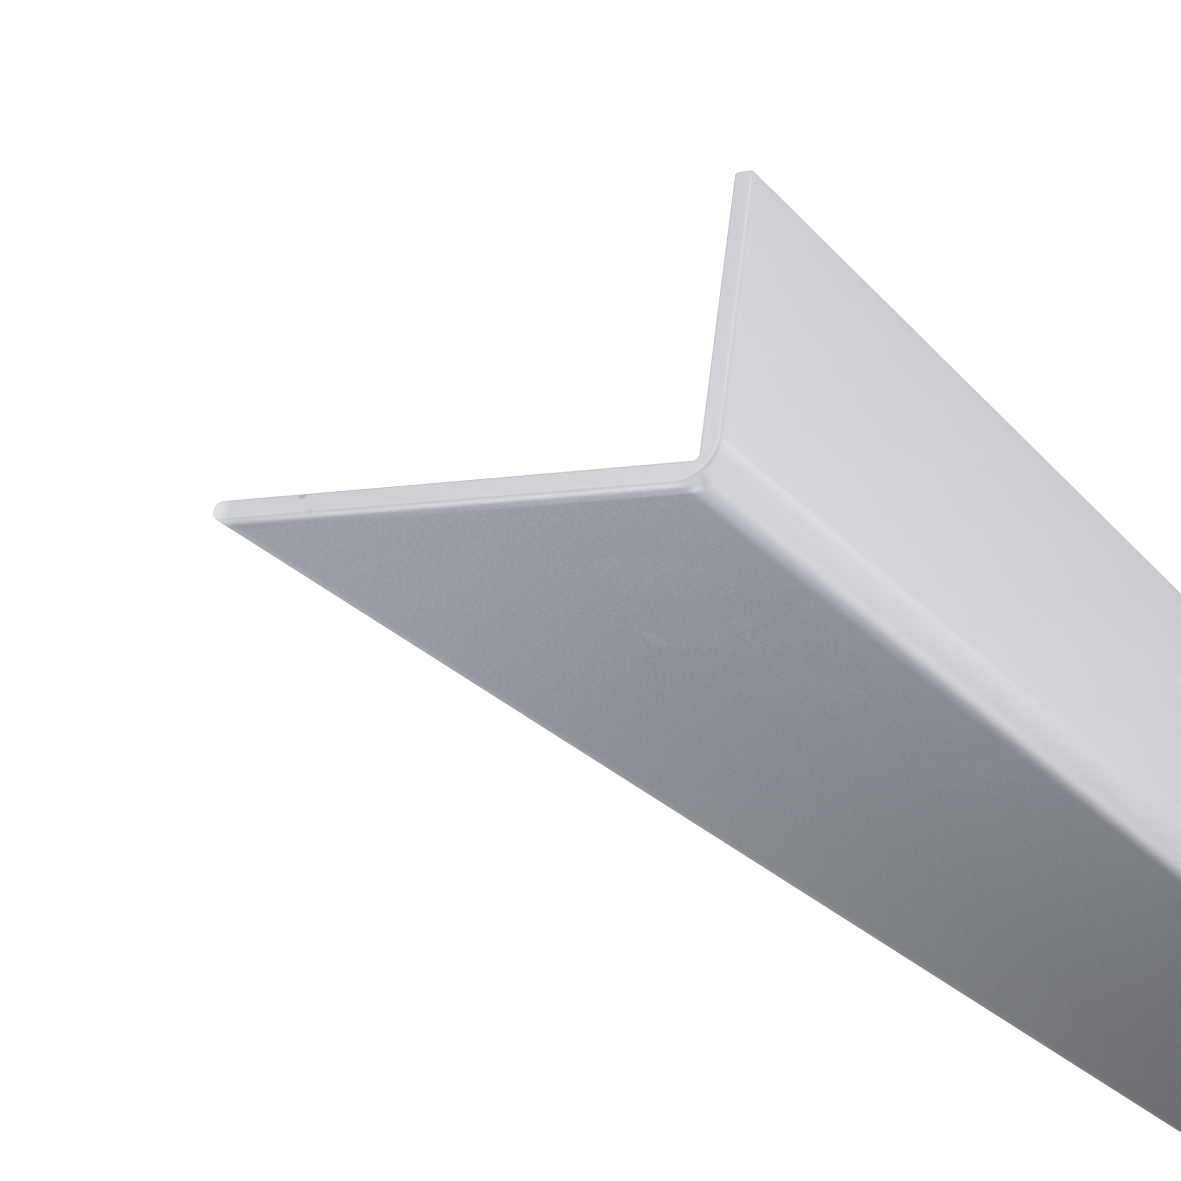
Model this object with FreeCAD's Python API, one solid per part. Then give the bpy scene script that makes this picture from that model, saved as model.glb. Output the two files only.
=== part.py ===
import FreeCAD, Part
import math
import os

# Unequal angle section, one length of stock with square cut ends. Millimetres, +Z up.
# It lies as a ridge: both toes are on the floor and the rounded corner is on top. The wide
# leg slopes down towards -Y and the narrow leg towards +Y.
# The origin is on the floor under the middle of the piece, and the length runs along X.

LENGTH = 1000.0  # one retail length of stock
WIDE_LEG = 54.0  # outside width, from the sharp outer corner to the toe
NARROW_LEG = 30.0  # outside width, from the sharp outer corner to the toe
WALL = 2.0  # thickness of both legs
OUTER_CORNER_RADIUS = 4.2  # broad, so the metal thins a little round the corner
INNER_CORNER_RADIUS = 0.7
WIDE_TOE_RADIUS = 0.9  # both edges of the wide leg's toe, which is almost a full round
NARROW_TOE_RADIUS = 0.4  # both edges of the narrow leg's toe, which is much crisper
END_RADIUS = 0.3  # saw edges eased round both ends

WIDE_TOE = min(WIDE_TOE_RADIUS, WALL / 2)  # a thinner wall has a full round toe
NARROW_TOE = min(NARROW_TOE_RADIUS, WALL / 2)
TOE_SHARE = 0.8  # the end rounding stays below this share of the smaller toe rounding
END_ROUNDING = min(END_RADIUS, TOE_SHARE * min(WIDE_TOE, NARROW_TOE))

# The floor line touches the inner rounding of both toes, which sets how the legs lean.
ROUNDING_STEP = WIDE_TOE - NARROW_TOE
FLAT_RUN = WIDE_LEG - WALL - ROUNDING_STEP
FLAT_RISE = NARROW_LEG - WALL + ROUNDING_STEP
FLOOR_TILT = math.acos(ROUNDING_STEP / math.hypot(FLAT_RUN, FLAT_RISE)) - math.atan2(FLAT_RUN, FLAT_RISE)
SHORTEST_FLAT = 0.001  # a flat shorter than this between two roundings is left out


# Turns a point of the section, measured along each leg from the sharp outer corner, into
# the Y and Z directions of the resting piece.
def lean(along_wide, along_narrow):
    across = along_narrow * math.sin(FLOOR_TILT) - along_wide * math.cos(FLOOR_TILT)
    down = along_narrow * math.cos(FLOOR_TILT) + along_wide * math.sin(FLOOR_TILT)
    return across, -down


# Where the sharp outer corner lies, so that the piece is centred and rests on the floor.
def corner_place():
    wide_side = lean(WIDE_LEG - WIDE_TOE, WIDE_TOE)[0] - WIDE_TOE
    narrow_side = lean(NARROW_TOE, NARROW_LEG - NARROW_TOE)[0] + NARROW_TOE
    lowest = lean(WIDE_LEG - WIDE_TOE, WALL - WIDE_TOE)[1] - WIDE_TOE
    return -(wide_side + narrow_side) / 2, -lowest


# A closed outline through sharp corners, each one rounded to its own radius.
def rounded_outline(corners):
    arcs = []
    for index, (corner, radius) in enumerate(corners):
        before = corners[index - 1][0] - corner
        after = corners[(index + 1) % len(corners)][0] - corner
        before.normalize()
        after.normalize()
        half_angle = before.getAngle(after) / 2
        setback = radius / math.tan(half_angle)
        bisector = (before + after).normalize()
        crown = radius / math.sin(half_angle) - radius
        start = corner + before * setback
        end = corner + after * setback
        arcs.append((start, corner + bisector * crown, end))

    edges = []
    for index, (start, middle, end) in enumerate(arcs):
        edges.append(Part.Arc(start, middle, end).toShape())
        next_start = arcs[(index + 1) % len(arcs)][0]
        if end.distanceToPoint(next_start) > SHORTEST_FLAT:
            edges.append(Part.makeLine(end, next_start))
    return Part.Wire(edges)


# The L-shaped section, standing across the near end of the length.
def section_face():
    corner_y, corner_z = corner_place()
    section = [
        (0.0, 0.0, OUTER_CORNER_RADIUS),
        (WIDE_LEG, 0.0, WIDE_TOE),
        (WIDE_LEG, WALL, WIDE_TOE),
        (WALL, WALL, INNER_CORNER_RADIUS),
        (WALL, NARROW_LEG, NARROW_TOE),
        (0.0, NARROW_LEG, NARROW_TOE),
    ]
    corners = []
    for along_wide, along_narrow, radius in section:
        across, up = lean(along_wide, along_narrow)
        corners.append((FreeCAD.Vector(-LENGTH / 2, corner_y + across, corner_z + up), radius))
    return Part.Face(rounded_outline(corners))


# The edges that lie wholly in one of the two end planes.
def end_edges(bar):
    edges = []
    for edge in bar.Edges:
        box = edge.BoundBox
        if box.XLength < END_ROUNDING and abs(abs(box.Center.x) - LENGTH / 2) < END_ROUNDING:
            edges.append(edge)
    return edges


def angle_section():
    bar = section_face().extrude(FreeCAD.Vector(LENGTH, 0, 0))
    return bar.makeFillet(END_ROUNDING, end_edges(bar))


os.makedirs("parts", exist_ok=True)
angle_section().exportStep("parts/angle_section.step")
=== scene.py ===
import math

import bpy
from mathutils import Matrix, Vector


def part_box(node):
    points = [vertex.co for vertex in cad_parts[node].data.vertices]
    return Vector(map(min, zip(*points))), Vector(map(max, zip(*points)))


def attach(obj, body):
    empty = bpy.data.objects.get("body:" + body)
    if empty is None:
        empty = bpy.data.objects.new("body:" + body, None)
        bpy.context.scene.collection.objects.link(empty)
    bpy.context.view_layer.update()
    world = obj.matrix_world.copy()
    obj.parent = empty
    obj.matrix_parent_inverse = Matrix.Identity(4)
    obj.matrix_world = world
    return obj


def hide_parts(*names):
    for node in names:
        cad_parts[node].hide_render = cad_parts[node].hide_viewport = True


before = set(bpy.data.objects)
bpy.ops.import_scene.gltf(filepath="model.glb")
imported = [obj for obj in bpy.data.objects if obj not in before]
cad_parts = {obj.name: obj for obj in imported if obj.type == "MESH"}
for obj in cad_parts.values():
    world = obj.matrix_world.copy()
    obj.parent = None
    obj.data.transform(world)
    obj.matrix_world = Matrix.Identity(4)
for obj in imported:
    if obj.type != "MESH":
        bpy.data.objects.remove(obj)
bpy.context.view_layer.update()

# All sizes are in metres. The piece lies as a ridge along X: both toes on the floor, the
# rounded corner on top, the wide leg sloping down towards -Y and the narrow leg towards +Y.
# Its section is described along the two legs, from the sharp outer corner.
angle = {
    "wideLeg": 0.054,
    "narrowLeg": 0.030,
    "wall": 0.002,
    "outerRadius": 0.0042,
    "innerRadius": 0.0007,
    "wideToeRadius": 0.0009,
    "narrowToeRadius": 0.0004,
    "roundingSteps": 24,  # facets round each quarter turn
    "ringSpacing": 0.005,
    "sawRadius": 0.0003,  # edges eased round both cut ends
    "sawSteps": 4,
    # small nicks in the near end: along the wide leg, depth below its outer face, radius,
    # and how far each one bites into the end
    "nicks": [
        (0.0428, 0.0, 0.00045, 0.00036),
        (0.0438, 0.002, 0.0010, 0.0002),
    ],
    "nickSteps": 4,  # how finely the nicks are rounded
}

lowCorner, highCorner = (Vector(corner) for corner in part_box("angle_section"))
length = highCorner.x - lowCorner.x
wideToe, narrowToe = angle["wideToeRadius"], angle["narrowToeRadius"]

# The floor line touches both toes, which sets how the legs lean
flatRun = angle["wideLeg"] - angle["wall"] - (wideToe - narrowToe)
flatRise = angle["narrowLeg"] - angle["wall"] + (wideToe - narrowToe)
toeTurn = math.acos((wideToe - narrowToe) / math.hypot(flatRun, flatRise))
floorTilt = toeTurn - math.atan2(flatRun, flatRise)


# Y and Z of a point of the section, from the sharp outer corner, once it leans on its toes
def lean(alongWide, alongNarrow):
    across = alongNarrow * math.sin(floorTilt) - alongWide * math.cos(floorTilt)
    down = alongNarrow * math.cos(floorTilt) + alongWide * math.sin(floorTilt)
    return across, -down


wideSide = lean(angle["wideLeg"] - wideToe, wideToe)[0] - wideToe
narrowSide = lean(narrowToe, angle["narrowLeg"] - narrowToe)[0] + narrowToe
lowest = lean(angle["wideLeg"] - wideToe, angle["wall"] - wideToe)[1] - wideToe
outerCorner = Vector((lowCorner.x, -(wideSide + narrowSide) / 2, -lowest))
legsToRow = (math.pi + floorTilt, 0, 0)


# A place in the row frame from the distances along the length, the wide and the narrow leg
def onAngle(along, alongWide, alongNarrow):
    across, up = lean(alongWide, alongNarrow)
    return outerCorner + Vector((along, across, up))


# A node socket as a Python value: arithmetic on it adds Math nodes to its tree
class Value:
    def __init__(self, wiring, socket):
        self.wiring = wiring
        self.socket = socket

    def output(self, name):
        return Value(self.wiring, self.socket.node.outputs[name])

    def maths(self, operation, *operands):
        inputs = dict(enumerate(operands))
        return self.wiring.add("ShaderNodeMath", {"operation": operation}, inputs)

    def __add__(self, other):
        return self.maths("ADD", self, other)

    def __radd__(self, other):
        return self.maths("ADD", other, self)

    def __sub__(self, other):
        return self.maths("SUBTRACT", self, other)

    def __rsub__(self, other):
        return self.maths("SUBTRACT", other, self)

    def __mul__(self, other):
        return self.maths("MULTIPLY", self, other)

    def __rmul__(self, other):
        return self.maths("MULTIPLY", other, self)

    def __truediv__(self, other):
        return self.maths("DIVIDE", self, other)

    def __pow__(self, other):
        return self.maths("POWER", self, other)

    def least(self, other):
        return self.maths("MINIMUM", self, other)

    # 0 below low, 1 above high, eased between them
    def ramp(self, low, high):
        settings = {"interpolation_type": "SMOOTHSTEP"}
        inputs = {"Value": self, "From Min": low, "From Max": high}
        return self.wiring.add("ShaderNodeMapRange", settings, inputs)


# Adds the nodes of one tree
class Wiring:
    def __init__(self, tree):
        self.tree = tree

    # A node from its type, its settings and what its sockets hold. Gives its first output,
    # if it has one
    def add(self, kind, settings=None, inputs=None):
        node = self.tree.nodes.new(kind)
        for name, setting in (settings or {}).items():
            setattr(node, name, setting)
        for name, held in (inputs or {}).items():
            self.connect(held, node.inputs[name])
        return Value(self, node.outputs[0]) if node.outputs else None

    def connect(self, held, socket):
        if isinstance(held, Value):
            self.tree.links.new(held.socket, socket)
        else:
            socket.default_value = held

    def noise(self, place, size, detail, roughness=0.5):
        inputs = {"Vector": place, "Scale": 1 / size, "Detail": detail, "Roughness": roughness}
        return self.add("ShaderNodeTexNoise", None, inputs)


# The section, swept along its length
def makeSweepTree(material):
    tree = bpy.data.node_groups.new("angleSweep", "GeometryNodeTree")
    legSizes = ("Wide Leg", "Narrow Leg", "Wall")
    roundings = ("Outer Radius", "Inner Radius", "Wide Toe", "Narrow Toe")
    sockets = {
        "NodeSocketGeometry": ("Geometry",),
        "NodeSocketFloat": ("Length",) + legSizes + roundings,
        "NodeSocketInt": ("Rounding Steps", "Rings"),
        "NodeSocketVector": ("Outer Corner", "Turn"),
    }
    for socketType, names in sockets.items():
        for name in names:
            tree.interface.new_socket(name, in_out="INPUT", socket_type=socketType)
    tree.interface.new_socket("Geometry", in_out="OUTPUT", socket_type="NodeSocketGeometry")

    wiring = Wiring(tree)
    given = wiring.add("NodeGroupInput")
    wide, narrow, wall, outer, inner, wideRound, narrowRound = (
        given.output(name) for name in legSizes + roundings
    )

    # along the wide leg, along the narrow leg, rounding
    corners = [
        (0.0, 0.0, outer),
        (wide, 0.0, wideRound),
        (wide, wall, wideRound),
        (wall, wall, inner),
        (wall, narrow, narrowRound),
        (0.0, narrow, narrowRound),
    ]
    index = wiring.add("GeometryNodeInputIndex")
    place = wiring.add("GeometryNodeIndexSwitch", {"data_type": "VECTOR"}, {"Index": index})
    rounding = wiring.add("GeometryNodeIndexSwitch", {"data_type": "FLOAT"}, {"Index": index})
    for switch in (place.socket.node, rounding.socket.node):
        while len(switch.index_switch_items) < len(corners):
            switch.index_switch_items.new()
    for number, (alongWide, alongNarrow, radius) in enumerate(corners):
        point = wiring.add("ShaderNodeCombineXYZ", None, {"X": alongWide, "Y": alongNarrow})
        wiring.connect(point, place.socket.node.inputs[str(number)])
        wiring.connect(radius, rounding.socket.node.inputs[str(number)])

    line = wiring.add("GeometryNodeMeshLine", None, {"Count": len(corners)})
    section = wiring.add("GeometryNodeMeshToCurve", None, {"Mesh": line})
    section = wiring.add(
        "GeometryNodeSetSplineCyclic", None, {"Geometry": section, "Cyclic": True}
    )
    section = wiring.add(
        "GeometryNodeSetPosition", None, {"Geometry": section, "Position": place}
    )
    steps = given.output("Rounding Steps")
    section = wiring.add(
        "GeometryNodeFilletCurve",
        {"mode": "POLY"},
        {"Curve": section, "Count": steps, "Radius": rounding},
    )
    farEnd = wiring.add("ShaderNodeCombineXYZ", None, {"Z": given.output("Length")})
    rail = wiring.add("GeometryNodeCurvePrimitiveLine", None, {"End": farEnd})
    rail = wiring.add(
        "GeometryNodeResampleCurve", None, {"Curve": rail, "Count": given.output("Rings")}
    )
    bar = wiring.add(
        "GeometryNodeCurveToMesh",
        None,
        {"Curve": rail, "Profile Curve": section, "Fill Caps": True},
    )
    # the sweep runs up Z, so it is laid over to run along X before it leans
    bar = wiring.add(
        "GeometryNodeTransform",
        None,
        {"Geometry": bar, "Rotation": (math.pi / 2, 0, math.pi / 2)},
    )
    bar = wiring.add(
        "GeometryNodeTransform",
        None,
        {
            "Geometry": bar,
            "Translation": given.output("Outer Corner"),
            "Rotation": given.output("Turn"),
        },
    )
    bar = wiring.add("GeometryNodeRealizeInstances", None, {"Geometry": bar})
    bar = wiring.add("GeometryNodeSetMaterial", None, {"Geometry": bar, "Material": material})
    wiring.add("NodeGroupOutput", None, {"Geometry": bar})
    return tree


# A small ball that takes a nick out of the near end
def makeNick(alongWide, below, radius, bite):
    centre = onAngle(bite - radius, alongWide, below)
    bpy.ops.mesh.primitive_ico_sphere_add(
        subdivisions=angle["nickSteps"], radius=radius, location=centre
    )
    return bpy.context.object


# The sweep with its sawn edges eased and its nicks cut, as one plain mesh
def sweepAngle(material):
    tree = makeSweepTree(material)
    sizes = {
        "Length": length,
        "Wide Leg": angle["wideLeg"],
        "Narrow Leg": angle["narrowLeg"],
        "Wall": angle["wall"],
        "Outer Radius": angle["outerRadius"],
        "Inner Radius": angle["innerRadius"],
        "Wide Toe": wideToe,
        "Narrow Toe": narrowToe,
        "Rounding Steps": angle["roundingSteps"],
        "Rings": round(length / angle["ringSpacing"]) + 1,
        "Outer Corner": outerCorner,
        "Turn": legsToRow,
    }
    stock = bpy.data.objects.new("angleStock", bpy.data.meshes.new("angleStock"))
    bpy.context.collection.objects.link(stock)
    sweep = stock.modifiers.new("sweep", "NODES")
    sweep.node_group = tree
    for item in tree.interface.items_tree:
        if item.in_out == "INPUT" and item.name in sizes:
            sweep[item.identifier] = sizes[item.name]
    ease = stock.modifiers.new("sawEdges", "BEVEL")
    ease.width = angle["sawRadius"]
    ease.segments = angle["sawSteps"]
    ease.limit_method = "ANGLE"
    ease.angle_limit = math.radians(60)  # so only the square edges round both ends
    level = stock.modifiers.new("flatFaces", "WEIGHTED_NORMAL")
    level.keep_sharp = True

    cutters = [makeNick(*nick) for nick in angle["nicks"]]
    for cutter in cutters:
        nick = stock.modifiers.new("nick", "BOOLEAN")
        nick.operation = "DIFFERENCE"
        nick.object = cutter

    evaluated = stock.evaluated_get(bpy.context.evaluated_depsgraph_get())
    mesh = bpy.data.meshes.new_from_object(evaluated)
    mesh.name = "angleMetal"
    for helper in (stock, *cutters):
        bpy.data.objects.remove(helper)
    piece = bpy.data.objects.new("angleMetal", mesh)
    bpy.context.collection.objects.link(piece)
    return piece


# The metal's finish: a fine even satin, softened outer edges at both ends, finger marks
# where a hand gripped the wide leg, and a few bright specks. Tones are shares of the colour.
finish = {
    "colour": (0.632, 0.640, 0.667),
    "roughness": 0.43,
    "sawnRoughness": 0.35,  # how much rougher and brighter the cut ends are
    "sawnTone": 0.2,
    "sawnRim": (0.00002, 0.0001),  # that tone fades out over this band of the rim
    "endEasing": 0.0029,  # how far the wide leg's outer face is worn soft from its ends
    "endTurn": math.radians(29),  # how far the surface turns by the very edge
    "easingFade": 0.3,  # the softening ends over this share of the rounded corner
    "grainSize": 0.00045,
    "grainRoughness": 0.75,  # how strong the finest part of the grain is
    "grainDepth": 0.00001,
    "grainTone": (0.03, 0.65),  # everywhere, and on the outer face of the wide leg
    "cloudSize": 0.012,
    "cloudTone": 0.02,
    "unevenness": (0.0048, 0.02),  # size and strength of the slow changes in roughness
    "paintedToeSheen": (0.0022, 0.14),  # width and tone of a painted sheen: a lighter band in the colour along the wide toe
    "markRaggedness": (0.004, 0.7),  # size and strength of a patch's uneven outline
    "patchEdge": (0.6, 1.15),  # a patch fades out between these shares of its half size
    "mottleSize": 0.0014,
    "mottleRange": (0.30, 0.75),  # the noise that goes from weakest to strongest
    "mottleStrength": (0.5, 0.8),  # the weakest share of a patch's tone, and what is added
    "markGloss": 0.2,  # how much smoother a patch is, as a share of its tone
    "markFade": (0.0002, 0.0006),  # marks fade out over this band round the corner
    # patches left by a hand, lighter or darker than the bare metal: along the length, along
    # the wide leg, half width, half length, turn in degrees, tone
    "patches": [
        (0.0205, 0.0164, 0.0060, 0.0082, 6, 0.030),
        (0.0176, 0.0209, 0.0016, 0.0024, -40, 0.025),
        (0.0194, 0.0135, 0.0022, 0.0029, -20, 0.025),
        (0.0377, 0.0187, 0.0062, 0.0083, 10, 0.042),
        (0.0378, 0.0263, 0.0010, 0.0022, -88, 0.090),
        (0.0343, 0.0144, 0.0018, 0.0024, -24, 0.045),
        (0.0564, 0.0175, 0.0070, 0.0088, 34, 0.032),
        (0.0524, 0.0246, 0.0016, 0.0024, -46, 0.025),
        (0.0556, 0.0142, 0.0028, 0.0037, -58, 0.030),
        (0.0850, 0.0109, 0.0060, 0.0092, 46, 0.055),
        (0.0817, 0.0088, 0.0036, 0.0050, -81, 0.055),
        (0.0289, 0.0187, 0.0016, 0.0056, 13, -0.018),
        (0.0282, 0.0089, 0.0032, 0.0062, -7, -0.030),
        (0.0476, 0.0095, 0.0048, 0.0070, 38, -0.030),
        (0.0703, 0.0073, 0.0048, 0.0070, 40, -0.034),
    ],
    "speckCore": 0.3,  # a speck starts to fade at this share of its radius
    # along the length, along the wide leg, radius, tone
    "specks": [
        (0.0383, 0.0269, 0.00045, 0.10),
        (0.0410, 0.0246, 0.00030, 0.16),
        (0.0526, 0.0297, 0.00020, 0.12),
        (0.0597, 0.0277, 0.00016, 0.14),
        (0.0809, 0.0098, 0.00035, 0.10),
        (0.0823, 0.0063, 0.00030, 0.10),
        (0.0032, 0.0425, 0.00060, 0.06),
    ],
}


# The finger marks and the specks: how much lighter or darker each place is
def handMarks(wiring, legs, along, alongWide):
    raggedSize, raggedStrength = finish["markRaggedness"]
    ragged = (wiring.noise(legs, raggedSize, 2) - 0.5) * raggedStrength
    marks = 0
    for patchAlong, patchWide, halfWidth, halfLength, turn, tone in finish["patches"]:
        cosine, sine = math.cos(math.radians(turn)), math.sin(math.radians(turn))
        rightwards, upwards = along - patchAlong, alongWide - patchWide
        acrossPatch = (rightwards * cosine + upwards * sine) / halfWidth
        alongPatch = (upwards * cosine - rightwards * sine) / halfLength
        reach = (acrossPatch * acrossPatch + alongPatch * alongPatch) ** 0.5 + ragged
        marks = marks + tone * (1 - reach.ramp(*finish["patchEdge"]))
    weakest, gain = finish["mottleStrength"]
    mottle = wiring.noise(legs, finish["mottleSize"], 3).ramp(*finish["mottleRange"])
    marks = marks * (weakest + mottle * gain)
    for speckAlong, speckWide, speckRadius, tone in finish["specks"]:
        away = wiring.add(
            "ShaderNodeVectorMath",
            {"operation": "DISTANCE"},
            {0: legs, 1: (speckAlong, speckWide, 0)},
        ).output("Value")
        core = speckRadius * finish["speckCore"]
        marks = marks + tone * (1 - away.ramp(core, speckRadius))
    return marks


# A normal that turns towards both ends beside the wide leg, most at the very edge
def softenEnds(wiring, fromEnd, alongNarrow):
    inward = (fromEnd / finish["endEasing"]).least(1)
    rise = math.tan(finish["endTurn"]) * finish["endEasing"]
    height = (inward - inward**3 / 3) * rise
    beside = 1 - alongNarrow.ramp(0, angle["outerRadius"] * finish["easingFade"])
    inputs = {"Strength": beside, "Distance": 1.0, "Height": height}
    return wiring.add("ShaderNodeBump", None, inputs)


# The satin metal, with everything that varies over its surface
def makeMetal():
    material = bpy.data.materials.new("satinMetal")
    material.use_nodes = True
    wiring = Wiring(material.node_tree)
    shader = material.node_tree.nodes["Principled BSDF"]

    # distances along the length, the wide leg and the narrow leg, and from the nearest end
    place = wiring.add("ShaderNodeTexCoord").output("Object")
    legs = wiring.add(
        "ShaderNodeMapping",
        {"vector_type": "TEXTURE"},
        {"Vector": place, "Location": outerCorner, "Rotation": legsToRow},
    )
    along = wiring.add("ShaderNodeSeparateXYZ", None, {"Vector": legs})
    alongWide, alongNarrow = along.output("Y"), along.output("Z")
    fromEnd = along.least(length - along)

    marks = handMarks(wiring, legs, along, alongWide)
    marks = marks * (1 - alongNarrow.ramp(*finish["markFade"]))

    # the grain is strongest on the wide leg's outer face, away from its edges
    grain = wiring.noise(legs, finish["grainSize"], 3, finish["grainRoughness"]) - 0.5
    plainGrain, wideGrain = finish["grainTone"]
    onWide = alongWide.ramp(0, angle["outerRadius"] * 2) * fromEnd.ramp(0, finish["endEasing"])
    onWide = onWide * (1 - alongNarrow.ramp(0, angle["wall"] / 2))
    grainTone = grain * (plainGrain + onWide * wideGrain)

    # painted sheen: the colour is lightened in a band along the wide toe, where its rounding
    # would catch the light
    sheenWidth, sheenTone = finish["paintedToeSheen"]
    paintedSheen = alongWide.ramp(angle["wideLeg"] - sheenWidth, angle["wideLeg"] - wideToe) * sheenTone
    clouds = (wiring.noise(legs, finish["cloudSize"], 3) - 0.5) * finish["cloudTone"]
    cut = (1 - fromEnd.ramp(*finish["sawnRim"])) * finish["sawnTone"]
    colour = wiring.add(
        "ShaderNodeVectorMath",
        {"operation": "SCALE"},
        {0: finish["colour"], "Scale": 1 + clouds + paintedSheen + cut + marks + grainTone},
    )
    wiring.connect(colour, shader.inputs["Base Color"])

    unevenSize, unevenStrength = finish["unevenness"]
    uneven = (wiring.noise(legs, unevenSize, 2) - 0.5) * unevenStrength
    sawn = (1 - fromEnd.ramp(0, angle["sawRadius"] * 2)) * finish["sawnRoughness"]
    roughness = finish["roughness"] + uneven + sawn - marks * finish["markGloss"]
    wiring.connect(roughness, shader.inputs["Roughness"])
    shader.inputs["Metallic"].default_value = 1.0

    softened = softenEnds(wiring, fromEnd, alongNarrow)
    depth = grain * finish["grainDepth"]
    inputs = {"Strength": 1.0, "Distance": 1.0, "Height": depth, "Normal": softened}
    wiring.connect(wiring.add("ShaderNodeBump", None, inputs), shader.inputs["Normal"])
    return material


metal = makeMetal()
bar = sweepAngle(metal)
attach(bar, "root")
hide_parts("angle_section")
print("angle swept:", len(bar.data.polygons), "faces")

# Plain studio: the floor and the air are white to the eye, and mirrored only faintly
studio = {
    "floorSize": 12.0,
    "floorColour": (0.8, 0.8, 0.8, 1.0),
    "floorRoughness": 0.9,
    "white": (1.0, 1.0, 1.0, 1.0),
    "mirrored": 0.03,  # share of the white background that the metal shows
    "aim": (-0.44, -0.005, 0.018),
    "lampClearance": 0.005,  # between the floor and the lowest edge of a lamp
    "coolLight": (0.74, 0.85, 1.0),
    "plainLight": (1.0, 1.0, 1.0),
    # distance, size, height and direction in degrees, power, light
    "lamps": {
        "wideLegLow": (0.30, 0.12, 20, 300, 0.04, "coolLight"),
        "wideLegHigh": (0.30, 0.12, 35, 320, 0.044, "coolLight"),
        "wideLegTop": (0.35, 0.15, 50, 310, 0.11, "plainLight"),
        "cornerLow": (0.62, 0.20, 35, 349, 0.21, "plainLight"),
        "cornerKey": (1.56, 1.00, 28, 11, 1.7, "plainLight"),
        "cornerSide": (0.80, 0.40, 18, 32, 0.14, "plainLight"),
        "cornerSoft": (1.00, 0.80, 45, 30, 1.3, "plainLight"),
        "farTop": (1.20, 0.80, 65, 0, 0.4, "plainLight"),
        "topKey": (1.40, 0.90, 60, 60, 1.1, "plainLight"),
        "narrowLegKey": (1.41, 0.35, 4, 54, 1.25, "plainLight"),
        "narrowLegNear": (0.43, 0.20, 11, 38, 0.12, "plainLight"),
        "narrowLegSoft": (1.30, 0.60, 12, 75, 2.4, "plainLight"),
        "edgeSoft": (0.50, 0.40, 8, 110, 0.31, "plainLight"),
        "edgeLow": (0.50, 0.22, 10, 135, 0.92, "plainLight"),
        "endLow": (0.50, 0.22, 12, 207, 0.53, "plainLight"),
        "endWide": (0.45, 0.45, 24, 235, 0.21, "plainLight"),
        "endSoft": (0.45, 0.45, 45, 175, 0.38, "plainLight"),
        "endTop": (0.40, 0.20, 85, 180, 0.27, "plainLight"),
        "endSide": (0.50, 0.22, 34, 255, 0.47, "plainLight"),
        "endSideHigh": (0.50, 0.22, 60, 260, 0.12, "plainLight"),
    },
}


# 1 for what the eye sees directly, and a share of that for what the metal mirrors
def seenShare(wiring):
    rays = wiring.add("ShaderNodeLightPath")
    mirrored = rays.output("Is Glossy Ray") + rays.output("Is Transmission Ray")
    return rays.output("Is Camera Ray") + mirrored * studio["mirrored"]


def addFloor():
    bpy.ops.mesh.primitive_plane_add(size=studio["floorSize"])
    floor = bpy.context.object
    floor.name = "floor"
    material = bpy.data.materials.new("paleFloor")
    material.use_nodes = True
    wiring = Wiring(material.node_tree)
    shader = material.node_tree.nodes["Principled BSDF"]
    shader.inputs["Base Color"].default_value = studio["floorColour"]
    shader.inputs["Roughness"].default_value = studio["floorRoughness"]
    shader.inputs["Specular IOR Level"].default_value = 0.0
    shader.inputs["Emission Color"].default_value = studio["white"]
    wiring.connect(seenShare(wiring), shader.inputs["Emission Strength"])
    floor.data.materials.append(material)


def lightAir():
    world = bpy.data.worlds.new("air")
    bpy.context.scene.world = world
    world.use_nodes = True
    wiring = Wiring(world.node_tree)
    background = world.node_tree.nodes["Background"]
    background.inputs["Color"].default_value = studio["white"]
    wiring.connect(seenShare(wiring), background.inputs["Strength"])


# A soft square lamp aimed at the near end
def addLamp(name, distance, size, height, direction, power, light):
    height, direction = math.radians(height), math.radians(direction)
    level = Vector((math.cos(direction), math.sin(direction), 0)) * math.cos(height)
    aim = Vector(studio["aim"])
    place = aim + (level + Vector((0, 0, math.sin(height)))) * distance
    # low lamps are lifted clear of the floor
    place.z = max(place.z, size / 2 * math.cos(height) + studio["lampClearance"])
    lamp = bpy.data.lights.new(name, "AREA")
    lamp.size = size
    lamp.energy = power
    lamp.color = studio[light]
    holder = bpy.data.objects.new(name, lamp)
    bpy.context.collection.objects.link(holder)
    holder.location = place
    holder.rotation_euler = (aim - place).to_track_quat("-Z", "Y").to_euler()
    holder.visible_camera = False


addFloor()
lightAir()
for name, settings in studio["lamps"].items():
    addLamp(name, *settings)
print("studio lit with", len(studio["lamps"]), "lamps")

# The camera looks down on the near end, rolled so that the corner points downwards
eye = {
    "position": (-0.74563, 0.08849, 0.19116),
    "aim": (-0.45355, -0.01417, 0.0),
    "roll": -159.315,
    "lens": 106.77,
    "sensor": 36.0,
    "clip": (0.01, 100.0),
}


def addCamera():
    camera = bpy.data.cameras.new("camera")
    camera.lens = eye["lens"]
    camera.sensor_width = eye["sensor"]
    camera.clip_start, camera.clip_end = eye["clip"]
    holder = bpy.data.objects.new("camera", camera)
    bpy.context.collection.objects.link(holder)
    sight = Vector(eye["aim"]) - Vector(eye["position"])
    roll = Matrix.Rotation(-math.radians(eye["roll"]), 3, "Z")
    holder.rotation_euler = (sight.to_track_quat("-Z", "Y").to_matrix() @ roll).to_euler()
    holder.location = eye["position"]
    bpy.context.scene.camera = holder


addCamera()
bpy.context.scene.view_settings.view_transform = "Standard"
print("camera aimed")
